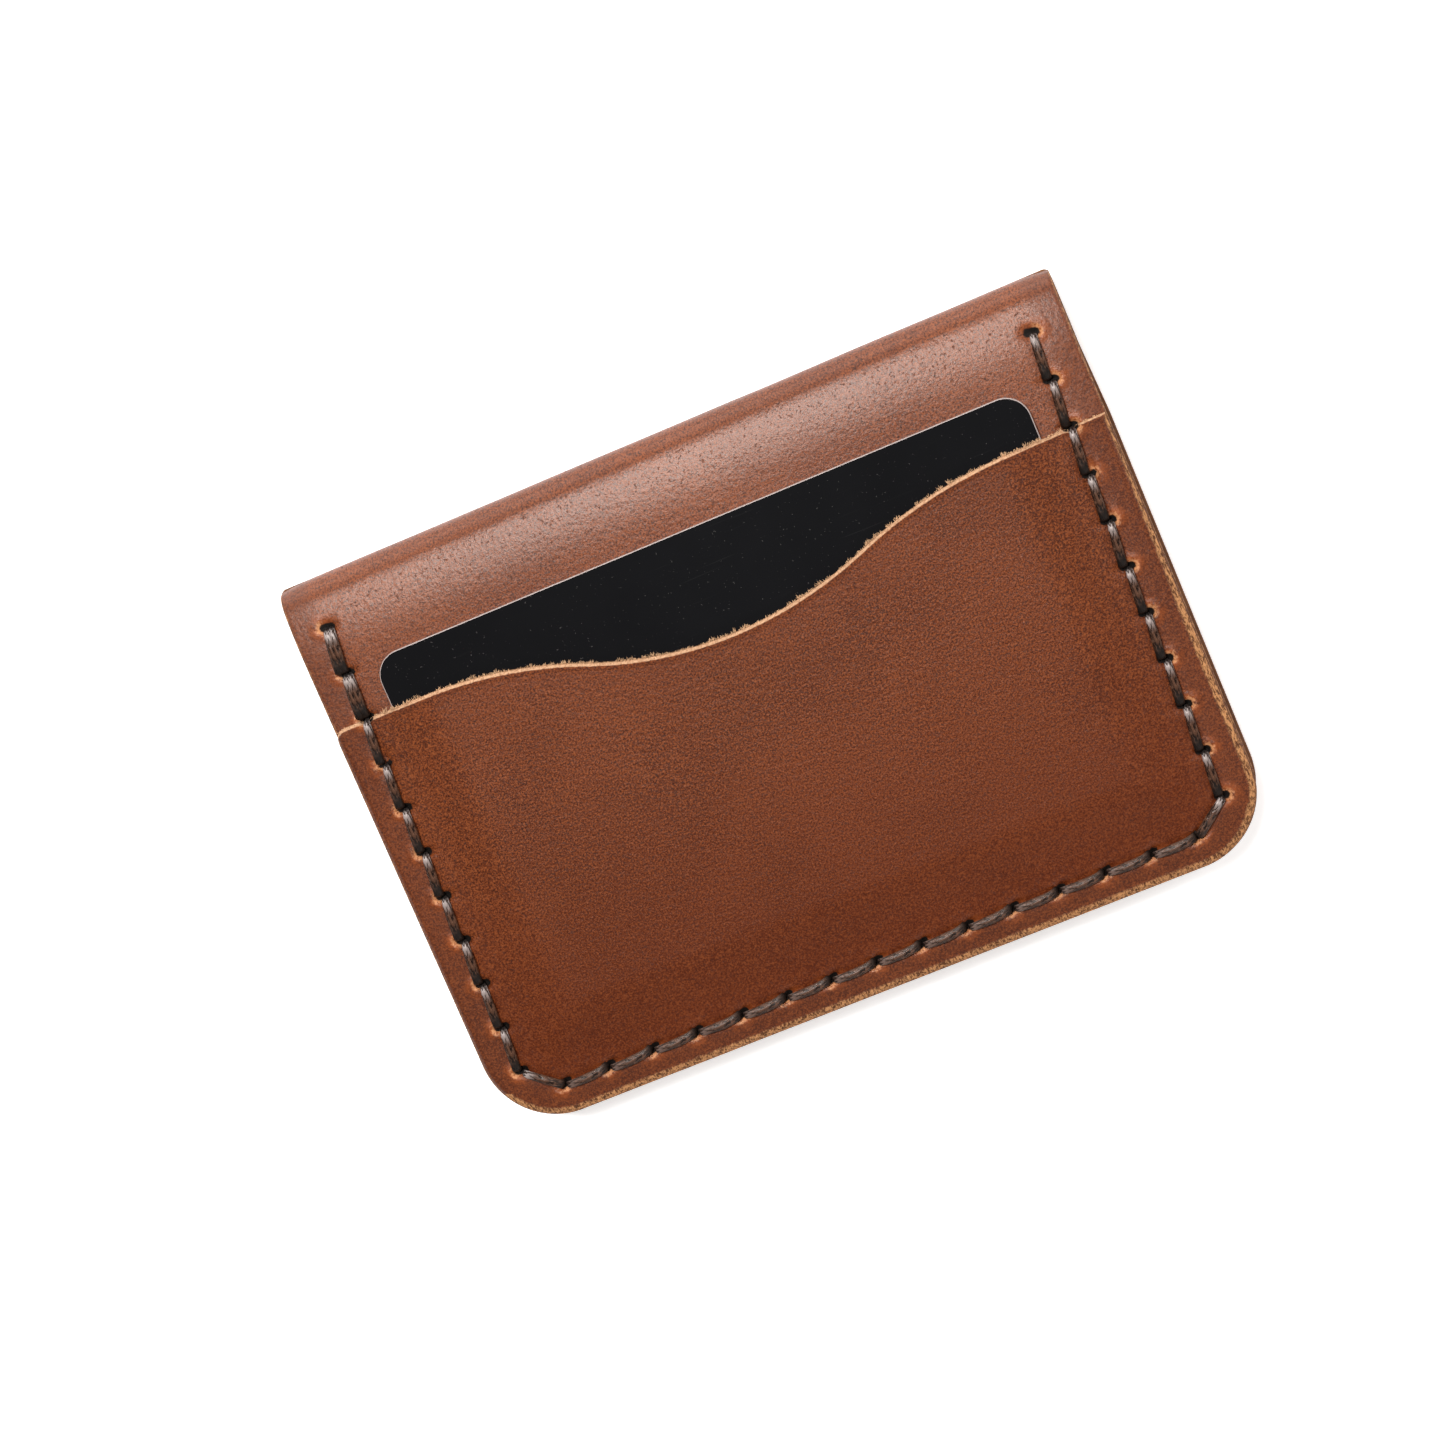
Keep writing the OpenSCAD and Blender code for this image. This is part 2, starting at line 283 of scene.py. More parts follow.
def leather(name, side):
    """Grain side of the hide. side is "shell" or "pocket", whose hides differ a little in tone."""
    if side == "pocket":
        deep_brown = paint(87, 37, 15)
        warm_brown = paint(101, 46, 21)
        base_roughness = 0.27
        specular = 0.3
    else:
        deep_brown = paint(105, 49, 23)
        warm_brown = paint(121, 60, 30)
        base_roughness = 0.28
        specular = 0.5
    r = Recipe(name)
    at = r.flat_mm()

    # Slow clouds of two browns, under a fine light and dark grain and small dark pores
    clouds = r.noise(at, scale=0.05, detail=3, roughness=0.5)
    mottle = r.noise(at, scale=0.42, detail=4, roughness=0.65)
    grain = r.noise(at, scale=4.2, detail=4, roughness=0.8)
    pores = r.ramp(r.noise(at, scale=3.3, detail=2, roughness=0.5), 0.60, 0.68)
    colour = r.mix(r.ramp(clouds, 0.36, 0.64), deep_brown, warm_brown)
    colour = r.stained(colour, r.ramp(mottle, 0.42, 0.72), share=0.3, stain=paint(112, 56, 29))
    colour = r.stained(colour, r.ramp(grain, 0.49, 0.60), share=0.74, stain=paint(146, 78, 38))
    colour = r.stained(colour, r.ramp(grain, 0.50, 0.40), share=0.88, stain=paint(48, 20, 9))
    colour = r.stained(colour, pores, share=0.42, stain=paint(34, 15, 8))

    # The border outside the seam is painted darker and greyer as shade on its sagging slope, and the pocket
    # has painted shade towards its foot
    to_side = r.stored_mm("to_side")
    border = r.ramp(to_side, 4.3, 3.2)
    if side == "pocket":
        # Painted shade: the pocket is darkened towards its foot
        painted_foot_shade = r.times(r.ramp(r.split(at)["Y"], 6, -36), r.math("SUBTRACT", 1.0, border))
        colour = r.stained(colour, painted_foot_shade, share=0.5, stain=paint(86, 31, 7))
    # Painted shade: the border outside the seam is stained darker and greyer
    colour = r.stained(colour, border, share=0.34, stain=paint(92, 50, 35))

    # Waxed leather goes pale and orange where it is stretched, which is around the holes
    to_hole = r.stored_mm("to_hole")
    outward = r.stored("hole_side").outputs["Fac"]
    torn = r.math("MULTIPLY_ADD", r.noise(at, scale=1.8, detail=4, roughness=0.7), 1.3, -0.65)
    ring = r.math("ADD", to_hole, torn)
    stretched = r.times(r.ramp(ring, 2.3, 0.4), r.ramp(outward, -1.3, 0.6))
    patches = r.ramp(r.noise(at, scale=0.5, detail=4, roughness=0.7), 0.35, 0.6)
    colour = r.stained(colour, r.times(stretched, patches), share=0.75, stain=paint(164, 82, 36))
    lip = r.times(r.ramp(ring, 1.15, 0.65), r.ramp(outward, 0.1, 0.9))
    lip_flecks = r.ramp(r.noise(at, scale=2.6, detail=3, roughness=0.7), 0.36, 0.52)
    colour = r.stained(colour, r.times(lip, lip_flecks), share=0.85, stain=paint(216, 150, 102))

    # The raw core shows in the bevelled cut edges, and each hole is painted near black inside as shade
    ragged = r.math("MULTIPLY_ADD", r.noise(at, scale=2.2, detail=4, roughness=0.75), 0.9, -0.45)
    to_mouth = r.math("ADD", r.stored_mm("to_mouth"), r.times(ragged, 0.3))
    side_cut = r.math("ADD", to_side, ragged)
    raw_side = r.ramp(r.math("SUBTRACT", side_cut, r.stored_mm("bevel")), 0.12, -0.22)
    fibres = r.noise(r.scaled(at, (1, 0.35, 1)), scale=3.6, detail=3, roughness=0.8)
    raw_tan = r.mix(r.ramp(fibres, 0.40, 0.58), paint(84, 50, 28), paint(206, 146, 94))
    if side == "pocket":
        # The outermost cut edge of the pocket turns dark: partly burnish, partly painted shade of the gap
        # under it
        raw_tan = r.mix(r.ramp(side_cut, 0.02, -0.22), raw_tan, paint(62, 38, 22))
    mouth_tan = r.mix(r.ramp(fibres, 0.3, 0.6), paint(166, 118, 86), paint(216, 170, 132))
    colour = r.stained(colour, raw_side, share=0.85, stain=raw_tan)
    colour = r.mix(r.ramp(to_mouth, 0.40, 0.28), colour, mouth_tan)
    # Painted shade: each slit is coloured near black where its inside lies in shadow
    painted_hole_shade = r.ramp(r.math("MULTIPLY_ADD", torn, 0.25, to_hole), 0.60, 0.44)
    colour = r.mix(painted_hole_shade, colour, paint(9, 5, 3))
    r.feed(r.shader.inputs["Base Color"], colour)

    # The wax is worn dull in the pores and missing from raw leather
    raw = r.math("MAXIMUM", raw_side, r.ramp(to_mouth, 0.95, 0.4))
    roughness = r.math("MULTIPLY_ADD", grain, 0.14, base_roughness)
    roughness = r.math("MULTIPLY_ADD", pores, 0.3, roughness)
    bare = r.times(r.math("MAXIMUM", raw, painted_hole_shade), 0.45)
    r.feed(r.shader.inputs["Roughness"], r.math("ADD", roughness, bare, clamp=True))
    r.shader.inputs["Specular IOR Level"].default_value = specular
    r.shader.inputs["Specular Tint"].default_value = (1.0, 0.87, 0.80, 1)
    relief = r.bump(r.noise(at, scale=5.5, detail=3, roughness=0.65), 0.02 * mm)
    relief = r.bump(r.noise(at, scale=1.4, detail=3, roughness=0.6), 0.05 * mm, relief)
    relief = r.bump(r.times(fibres, raw), 0.2 * mm, relief)
    relief = r.bump(r.times(torn, r.ramp(to_hole, 2.2, 0.4)), 0.12 * mm, relief)
    r.feed(r.shader.inputs["Normal"], relief)
    return r.material


def cut_leather():
    """The raw core, as a sanded cut edge: tan, with darker fibres lying along it."""
    r = Recipe("leather_cut_edge")
    at = r.flat_mm()
    fibres = r.noise(r.scaled(at, (1, 1, 5)), scale=1.6, detail=4, roughness=0.7)
    specks = r.noise(at, scale=6.0, detail=2, roughness=0.6)
    colour = r.mix(r.ramp(fibres, 0.35, 0.7), paint(92, 58, 34), paint(176, 122, 74))
    colour = r.stained(colour, r.ramp(specks, 0.55, 0.7), share=0.6, stain=paint(52, 32, 20))
    r.feed(r.shader.inputs["Base Color"], colour)
    r.shader.inputs["Roughness"].default_value = 0.82
    r.feed(r.shader.inputs["Normal"], r.bump(fibres, 0.12 * mm))
    return r.material


def flesh_leather():
    """The flesh side: matt, napped and a duller brown."""
    r = Recipe("leather_flesh_side")
    at = r.flat_mm()
    nap = r.noise(at, scale=2.4, detail=5, roughness=0.75)
    patches = r.noise(at, scale=0.12, detail=3, roughness=0.6)
    colour = r.mix(r.ramp(patches, 0.35, 0.65), paint(104, 64, 40), paint(128, 82, 54))
    colour = r.stained(colour, r.ramp(nap, 0.4, 0.7), share=0.5, stain=paint(150, 102, 70))
    r.feed(r.shader.inputs["Base Color"], colour)
    r.shader.inputs["Roughness"].default_value = 0.92
    r.feed(r.shader.inputs["Normal"], r.bump(nap, 0.15 * mm))
    return r.material


cut_edge = cut_leather()
flesh_side = flesh_leather()

# Steps in from a cut edge, close together where it rounds over
edge_steps = np.array((0, 0.07, 0.17, 0.3, 0.46, 0.65, 0.9, 1.25)) * mm


def across_steps(half, step):
    """Places across a piece, close together at its two cut edges and along the side seams."""
    seam = half - seam_x
    seam_band = 1.5 * mm
    seam_step = 0.3 * mm
    dense = np.arange(seam - seam_band, seam + seam_band, seam_step)
    middle = np.arange(edge_steps[-1] + step, half - step / 3, step)
    middle = middle[(middle < dense[0] - step / 2) | (middle > dense[-1] + step / 2)]
    left = -half + np.sort(np.concatenate((edge_steps, middle, dense)))
    return np.concatenate((left, [0.0], -left[::-1]))


def cut_outline(half, bottom, radius, top_of, dense_top, step=0.65 * mm, row_step=0.33 * mm):
    """A grid over a piece's outline: rounded corners at the open edge, and a top edge given by top_of(x)."""
    corner_count = 34
    top_count = 8
    top_band = 3.5 * mm
    xs = across_steps(half, step)
    corner_rows = radius * (1 - np.cos(np.linspace(0, math.pi / 2, corner_count)))
    level = top_of(xs)
    flat_top = level.min() - top_band
    middle_rows = np.arange(radius + row_step, flat_top - bottom - row_step / 3, row_step)
    grid_x, grid_y = [], []
    for depth in np.concatenate((corner_rows, middle_rows)):
        inner = radius - math.sqrt(max(radius ** 2 - max(radius - depth, 0) ** 2, 0))
        grid_x.append(xs * (half - inner) / half)
        grid_y.append(np.full(xs.shape, bottom + depth))
    top_steps = edge_steps[::-1] if dense_top else np.zeros(1)
    for k in range(top_count):
        grid_x.append(xs)
        grid_y.append(flat_top + k / top_count * (level - top_steps[0] - flat_top))
    for step_in in top_steps:
        grid_x.append(xs)
        grid_y.append(level - step_in)
    return np.array(grid_x), np.array(grid_y)


def edge_distance(x, y, half, bottom, radius):
    """Distance in from the side and open edges of an outline."""
    past_x = np.abs(x) - (half - radius)
    past_y = bottom + radius - y
    corner = (past_x > 0) & (past_y > 0)
    return np.where(corner, radius - np.hypot(past_x, past_y), np.minimum(half - np.abs(x), y - bottom))


def round_over(distance, width, depth):
    """How far a bevelled edge has dropped at a distance in from the cut."""
    return depth * np.clip(1 - distance / width, 0, 1) ** 1.6


def border_sag(distance):
    """How far the free border outside the seam hangs below the rest."""
    sag = 0.26 * mm
    border = 4.6 * mm
    return sag * np.clip(1 - distance / border, 0, 1) ** 1.7


def hand_wave(x, y, size, seed):
    """The slight unevenness of soft leather, as a few slow waves."""
    wave_count = 7
    draw = np.random.default_rng(seed)
    total = np.zeros(x.shape)
    for _ in range(wave_count):
        turn = draw.uniform(0, 2 * math.pi)
        pace = draw.uniform(0.12, 0.45) / mm
        total += np.sin((x * math.cos(turn) + y * math.sin(turn)) * pace + draw.uniform(0, 6.3))
    return size * total / wave_count


def pit_at(hole, radius=0.48 * mm):
    """Share of its depth that the pit round a slit still has at a distance from the slit."""
    return np.exp(-(hole / radius) ** 2)


def sewn_relief(x, y, edge, seam, bevel, press, pit_depth, lip_height, seed):
    """How a sewn grain face stands off flat. seam is what to_seam gives, and bevel a width and a depth."""
    line, hole, outward = seam
    press_width = 0.9 * mm
    lip_from_hole = 0.95 * mm
    lip_width = 0.35 * mm
    lip = np.exp(-((hole - lip_from_hole) / lip_width) ** 2) * np.clip(0.3 + 0.7 * outward, 0, 1)
    return (hand_wave(x, y, 0.05 * mm, seed) - round_over(edge, *bevel)
            - press * np.exp(-(line / press_width) ** 2) - pit_depth * pit_at(hole)
            + lip_height * lip - border_sag(edge))


def sheet_of_leather(name, x, y, top, bottom, place, marks, grain_side):
    """A closed sheet. x and y are grids over its flat shape, y growing towards the fold, and top and bottom
    the heights of its two faces. place turns (x, y, height) into a point of the wallet, and marks are
    what its material reads."""
    wall_steps = 4
    rows, columns = x.shape
    count = rows * columns
    number = np.arange(count).reshape(rows, columns)
    rim = np.concatenate((number[0, :-1], number[:-1, -1], number[-1, :0:-1], number[:0:-1, 0]))
    flat_x, flat_y, top, bottom = x.ravel(), y.ravel(), top.ravel(), bottom.ravel()
    levels = [(flat_x, flat_y, top), (flat_x, flat_y, bottom)]
    for k in range(1, wall_steps):
        t = k / wall_steps
        levels.append((flat_x[rim], flat_y[rim], top[rim] * (1 - t) + bottom[rim] * t))
    px, py, ph = (np.concatenate([level[i] for level in levels]) for i in range(3))
    points = place(px, py, ph)

    a = number[:-1, :-1].ravel()
    b = number[:-1, 1:].ravel()
    c = number[1:, 1:].ravel()
    d = number[1:, :-1].ravel()
    upper = np.stack((a, b, c, d), 1)
    lower = np.stack((d, c, b, a), 1) + count
    between = [2 * count + k * len(rim) + np.arange(len(rim)) for k in range(wall_steps - 1)]
    rings = [rim] + between + [rim + count]
    walls = [np.stack((np.roll(p, -1), p, q, np.roll(q, -1)), 1) for p, q in zip(rings[:-1], rings[1:])]
    faces = np.concatenate([upper, lower] + walls)
    materials = (grain_side, cut_edge, flesh_side)
    finish = np.repeat((0, 2, 1), (len(upper), len(lower), sum(map(len, walls))))

    mesh = bpy.data.meshes.new(name)
    mesh.vertices.add(len(points))
    mesh.vertices.foreach_set("co", points.astype(np.float32).ravel())
    mesh.loops.add(faces.size)
    mesh.loops.foreach_set("vertex_index", faces.astype(np.int32).ravel())
    mesh.polygons.add(len(faces))
    mesh.polygons.foreach_set("loop_start", np.arange(0, faces.size, 4, dtype=np.int32))
    mesh.polygons.foreach_set("material_index", finish.astype(np.int32))
    mesh.update(calc_edges=True)
    mesh.validate()
    for material in materials:
        mesh.materials.append(material)
    flat_place = mesh.attributes.new("flat_place", "FLOAT_VECTOR", "POINT")
    flat_place.data.foreach_set("vector", np.stack((px, py, ph), 1).astype(np.float32).ravel())
    for key, values in marks.items():
        values = values.ravel()
        full = np.concatenate([values, values] + [values[rim]] * (wall_steps - 1))
        mesh.attributes.new(key, "FLOAT", "POINT").data.foreach_set("value", full.astype(np.float32))
    mesh.shade_smooth()
    mesh.set_sharp_from_angle(angle=math.radians(50))
    piece = bpy.data.objects.new(name, mesh)
    scene.collection.objects.link(piece)
    return piece


# ---------------------------------------------------------------- Shell
# One piece of 1.5 mm leather folded along the wallet's top. The two covers are flat, then bend gently
# for 7 mm, and meet in a tight roll. It is made as two halves that meet at the tip of the fold.
shell_t = 1.5 * mm
bend_r = 34 * mm
bend_turn = math.radians(12.5)
corner_r = 9.5 * mm
fold_row_count = 21
shell_raw_left = 0.24 * mm
shell_raw_right = 0.12 * mm
front_proud = 0.10 * mm
back_proud = 0.32 * mm
proud_run = 9 * mm
groove_depth = 0.62 * mm
groove_half = 0.68 * mm
back_pit_depth = 0.3 * mm
back_bevel = 0.6 * mm, 0.35 * mm
inside_bevel = 0.3 * mm, 0.12 * mm
no_mouth = 1.0

mid_h = shell_high.z - mid_z - shell_t / 2
tip_r = (mid_h - bend_r * (1 - math.cos(bend_turn))) / math.cos(bend_turn)
tip_y = fold_y - tip_r - shell_t / 2
bend_y = tip_y - (bend_r - tip_r) * math.sin(bend_turn)
bend_end = bend_y + bend_r * bend_turn
half_length = bend_end + tip_r * (math.pi / 2 - bend_turn)


def over_cover(side):
    """Places flat leather on a cover and round its half of the fold. side is 1 in front, -1 behind."""
    easing_reach = 0.9 * mm
    easing_end = 2.4 * mm

    def bent(y, height):
        gentle = np.clip((y - bend_y) / bend_r, 0, bend_turn)
        tight = np.clip((y - bend_end) / tip_r, 0, math.pi / 2 - bend_turn)
        turn = gentle + tight
        along = np.minimum(y, bend_y) + bend_r * np.sin(gentle) + tip_r * (np.sin(turn) - np.sin(gentle))
        up = mid_h - bend_r * (1 - np.cos(gentle)) - tip_r * (np.cos(gentle) - np.cos(turn))
        return along + height * np.sin(turn), up + height * np.cos(turn)

    def place(x, y, height):
        # Leather eases from one curve into the next, so each point is averaged with its neighbours
        easing = easing_reach * np.clip((half_length - y) / easing_end, 0, 1)
        steps = [bent(y + easing * share, height) for share in (-1, -0.5, 0, 0.5, 1)]
        along = sum(step[0] for step in steps) / len(steps)
        up = sum(step[1] for step in steps) / len(steps)
        return np.stack((x, along, mid_z + side * up), -1)
    return place


shell_x, shell_y = cut_outline(half_w, open_y, corner_r, lambda x: np.full(x.shape, bend_end), False)
fold_rows = bend_end + np.linspace(0, 1, fold_row_count + 1)[1:, None] * (half_length - bend_end)
shell_x = np.concatenate((shell_x, np.repeat(shell_x[-1:], fold_row_count, 0)))
shell_y = np.concatenate((shell_y, np.repeat(fold_rows, shell_x.shape[1], 1)))
shell_edge = edge_distance(shell_x, shell_y, half_w, open_y, corner_r)
shell_seam = to_seam(shell_x, shell_y)
line, hole, outward = shell_seam
shell_marks = {"to_hole": hole, "hole_side": outward, "to_side": shell_edge,
               "bevel": np.where(shell_x < 0, shell_raw_left, shell_raw_right),
               "to_mouth": np.full(shell_x.shape, no_mouth)}
shell_inside = round_over(shell_edge, *inside_bevel) - shell_t / 2
shell_grain = leather("shell_leather", "shell")

# On the right the lower layers stand a little proud of the upper ones
proud = np.clip(shell_x / half_w, 0, 1) ** 3 * np.clip((bend_y - shell_y) / proud_run, 0, 1)
front_top = shell_t / 2 + sewn_relief(
    shell_x, shell_y, shell_edge, shell_seam, bevel=(0.35 * mm, 0.18 * mm), press=0.12 * mm,
    pit_depth=0.7 * mm, lip_height=0.15 * mm, seed=3)
shell_front_half = sheet_of_leather("shell_front_half", shell_x + front_proud * proud, shell_y, front_top,
                                    shell_inside, over_cover(1), shell_marks, shell_grain)

back_top = (shell_t / 2 - round_over(shell_edge, *back_bevel)
            - groove_depth * np.exp(-(line / groove_half) ** 6) - back_pit_depth * pit_at(hole)
            + np.minimum(0, hand_wave(shell_x, shell_y, 0.04 * mm, seed=4)))
back_x = (shell_x + back_proud * proud)[:, ::-1]
shell_back_half = sheet_of_leather("shell_back_half", back_x, shell_y, back_top,
                                   shell_inside, over_cover(-1), shell_marks, shell_grain)

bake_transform(shell_front_half)
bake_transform(shell_back_half)
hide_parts("shell_front", "shell_fold")
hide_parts("shell_back", "shell_fold")


# ---------------------------------------------------------------- Outer pocket
# A second layer of the same leather on the front cover. Its mouth is cut by hand in a bell-shaped dip,
# bevelled and left raw, and the middle is pushed up by the card.
pocket_grain = leather("pocket_leather", "pocket")
pocket_low, pocket_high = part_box("outer_pocket")
card_low, card_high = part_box("card")
side_spread = 0.22 * mm
foot_spread = 0.2 * mm
pocket_half = pocket_high.x + side_spread
pocket_bottom_y = pocket_low.y - foot_spread
pocket_t = 1.2 * mm
card_space = 0.9 * mm
card_side_room = 1.4 * mm
card_under_room = 1.7 * mm
card_room_r = 5 * mm
slope_above = 9 * mm
slope_below = 1.1 * mm
mouth_bevel = 0.6 * mm, 0.45 * mm
covered_outside_seam = 0.14 * mm
mouth_dip = 7.3 * mm
mouth_reach = 38.8 * mm
mouth_low_share = 0.475


def mouth_line(x, top, dip):
    """A hollow arc in the middle of the mouth meets a round shoulder on each side."""
    turn = 2 * math.atan(dip / mouth_reach)
    total_r = mouth_reach / math.sin(turn)
    low_r = mouth_low_share * total_r
    high_r = total_r - low_r
    d = np.minimum(np.abs(x), mouth_reach)
    hollow = top - dip + low_r - np.sqrt(np.maximum(low_r ** 2 - d ** 2, 0))
    shoulder = top - high_r + np.sqrt(high_r ** 2 - (mouth_reach - d) ** 2)
    return np.where(d < low_r * math.sin(turn), hollow, shoulder)


def bulge_over_card(x, y, slope_width=2.2 * mm):
    """Share of the card's thickness by which pocket leather over it is raised, from the seam inwards."""
    half = (card_high.x - card_low.x) / 2 + card_side_room + pocket_t
    bottom = card_low.y - card_under_room - pocket_t
    t = np.clip(edge_distance(x, y, half, bottom, card_room_r + pocket_t) / slope_width, 0, 1)
    return t * t * (3 - 2 * t)


def pocket_mouth(x):
    """The hand-cut mouth, drawn down where the seam crosses it and rounded off at its left end."""
    end_width = 1.6 * mm
    end_fall = 1.1 * mm
    pull = 0.45 * mm
    pull_width = 0.5 * mm
    from_left = np.clip(1 - (x + pocket_half) / end_width, 0, 1)
    end_drop = end_fall * (1 - np.sqrt(1 - from_left ** 2))
    pulled = pull * np.exp(-((np.abs(x) - seam_x) / pull_width) ** 2)
    uneven = hand_wave(x, 0 * x, 0.12 * mm, seed=11)
    return mouth_line(x, pocket_high.y, mouth_dip) - end_drop - pulled + uneven


pocket_x, pocket_y = cut_outline(pocket_half, pocket_bottom_y, corner_r, pocket_mouth, True)
pocket_edge = edge_distance(pocket_x, pocket_y, pocket_half, pocket_bottom_y, corner_r)
mouth_edge = np.maximum(pocket_mouth(pocket_x) - pocket_y, 0) + covered_outside_seam * (pocket_x > seam_x)
pocket_seam = to_seam(pocket_x, pocket_y)

# The raw edge shows most at the foot, and more and more down the right side
raw_foot = 0.95 * mm
raw_foot_height = 5 * mm
raw_left = 0.18 * mm
raw_right = 0.3 * mm
raw_right_wear = 0.5 * mm
wear_top_y = 12 * mm
wear_run = 20 * mm
wear = np.clip((wear_top_y - pocket_y) / wear_run, 0, 1)
pocket_raw = np.where(pocket_x > 0, raw_right + raw_right_wear * wear, raw_left)
pocket_raw = np.where(pocket_y < pocket_low.y + raw_foot_height, raw_foot, pocket_raw)
pocket_marks = {"to_hole": pocket_seam[1], "hole_side": pocket_seam[2], "to_side": pocket_edge,
                "to_mouth": mouth_edge, "bevel": pocket_raw}

pocket_lift = shell_t / 2
pocket_top = (pocket_lift + pocket_t + card_space * bulge_over_card(pocket_x, pocket_y, slope_above)
              - round_over(mouth_edge, *mouth_bevel)
              + sewn_relief(pocket_x, pocket_y, pocket_edge, pocket_seam, bevel=(0.8 * mm, 0.5 * mm),
                            press=0.16 * mm, pit_depth=0.75 * mm, lip_height=0.17 * mm, seed=7))
pocket_under = (pocket_lift + card_space * bulge_over_card(pocket_x, pocket_y, slope_below)
                - border_sag(pocket_edge))
outer_pocket = sheet_of_leather("outer_pocket_leather", pocket_x, pocket_y, pocket_top, pocket_under,
                                over_cover(1), pocket_marks, pocket_grain)
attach(outer_pocket, "front_cover")
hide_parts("outer_pocket")


# ---------------------------------------------------------------- Inner pockets
# One on the inside of each cover, grain side inwards, sewn on by the cover's seam. The mouth faces the
# fold and dips for the thumb.
inner_low, inner_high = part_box("front_inner_pocket")
inner_dip = 12 * mm
inner_flatten = 8 * mm
inner_bevel = 0.5 * mm, 0.25 * mm
inner_mouth_bevel = 0.5 * mm, 0.3 * mm
inner_pit_depth = 0.4 * mm
inner_pit_r = 0.38 * mm
inner_raw = 0.25 * mm


def inner_mouth(x):
    return mouth_line(x, inner_high.y, inner_dip)


inner_x, inner_y = cut_outline(pocket_half, inner_low.y, corner_r, inner_mouth, True,
                               step=0.9 * mm, row_step=0.45 * mm)
inner_edge = edge_distance(inner_x, inner_y, pocket_half, inner_low.y, corner_r)
inner_mouth_edge = np.maximum(inner_mouth(inner_x) - inner_y, 0)
hole, outward = to_seam(inner_x, inner_y)[1:]
inner_rise = card_space * bulge_over_card(inner_x, inner_y)
inner_rise = inner_rise * np.clip((bend_y - inner_y) / inner_flatten, 0, 1)
inner_behind = shell_t / 2 + inner_rise
inner_face = (inner_behind + pocket_t - round_over(inner_edge, *inner_bevel)
              - round_over(inner_mouth_edge, *inner_mouth_bevel)
              - inner_pit_depth * pit_at(hole, inner_pit_r))
inner_marks = {"to_hole": hole[:, ::-1], "hole_side": outward, "to_side": inner_edge,
               "to_mouth": inner_mouth_edge, "bevel": np.full(inner_x.shape, inner_raw)}
for body, side in (("front", 1), ("back", -1)):
    cover = over_cover(side)
    pocket = sheet_of_leather(
        f"{body}_inner_pocket_leather", inner_x[:, ::-1], inner_y, inner_face, inner_behind,
        lambda x, y, height: cover(x, y, -height), inner_marks, pocket_grain)
    if side < 0:
        pocket.data.flip_normals()
    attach(pocket, f"{body}_cover")
    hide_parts(f"{body}_inner_pocket")


# ---------------------------------------------------------------- Card
# A plastic card in the outer pocket: black faces over a pale core, which shows as a thin line where the
# edge is eased.
card_core = Recipe("card_core")
card_core.shader.inputs["Base Color"].default_value = paint(176, 160, 154)
card_core.shader.inputs["Roughness"].default_value = 0.5

card_black = Recipe("card_black")
card_place = card_black.nodes.new("ShaderNodeTexCoord").outputs["Object"]
card_at = card_black.scaled(card_place, (1000, 1000, 1000))
dust = card_black.ramp(card_black.noise(card_at, scale=3.4, detail=2, roughness=0.5), 0.70, 0.76)
scratch_at = card_black.scaled(card_at, (0.05, 2.2, 1.0))
scratches = card_black.ramp(card_black.noise(scratch_at, scale=1.6, detail=2, roughness=0.5), 0.68, 0.78)
card_haze = card_black.noise(card_at, scale=0.06, detail=3, roughness=0.6)
card_tone = card_black.mix(card_haze, paint(10, 10, 12), paint(16, 16, 18))
card_tone = card_black.stained(card_tone, dust, share=0.5, stain=paint(90, 86, 84))
card_tone = card_black.stained(card_tone, scratches, share=0.1, stain=paint(70, 68, 68))
card_black.feed(card_black.shader.inputs["Base Color"], card_tone)
card_roughness = card_black.math("MULTIPLY_ADD", card_haze, 0.06, 0.11)
card_black.feed(card_black.shader.inputs["Roughness"], card_roughness)
card_black.shader.inputs["Specular IOR Level"].default_value = 0.3

card_r = 3.18 * mm
card_ease = 0.10 * mm
card_corner_steps = 15
card_half_x = (card_high.x - card_low.x) / 2
card_half_y = (card_high.y - card_low.y) / 2
card_middle_y = (card_high.y + card_low.y) / 2
corner_turns = np.linspace(0, math.pi / 2, card_corner_steps)
corner_ways = np.stack((np.cos(corner_turns), np.sin(corner_turns)), 1)
card_outline = []
for quarter, (to_x, to_y) in enumerate(((1, 1), (-1, 1), (-1, -1), (1, -1))):
    turn = quarter * math.pi / 2
    spin = np.array(((math.cos(turn), math.sin(turn)), (-math.sin(turn), math.cos(turn))))
    centre = np.array(((card_half_x - card_r) * to_x, (card_half_y - card_r) * to_y))
    card_outline.append(np.concatenate((np.broadcast_to(centre, corner_ways.shape), corner_ways @ spin), 1))
card_outline = np.concatenate(card_outline)
card_levels = [(card_ease, card_low.z), (0, card_low.z + card_ease * 0.7), (0, card_high.z - card_ease * 0.7),
               (card_ease * 0.35, card_high.z - card_ease * 0.2), (card_ease, card_high.z)]
card_points = []
for inset, level in card_levels:
    for cx, cy, nx, ny in card_outline:
        card_points.append((cx + nx * (card_r - inset), card_middle_y + cy + ny * (card_r - inset), level))
ring = len(card_outline)
walls = len(card_levels) - 1
card_faces = [tuple(range(ring))[::-1], tuple(range(walls * ring, (walls + 1) * ring))]
for wall in range(walls):
    lower, upper = wall * ring, (wall + 1) * ring
    for k in range(ring):
        n = (k + 1) % ring
        card_faces.append((lower + k, lower + n, upper + n, upper + k))
card_mesh = bpy.data.meshes.new("card")
card_mesh.from_pydata(card_points, [], card_faces)
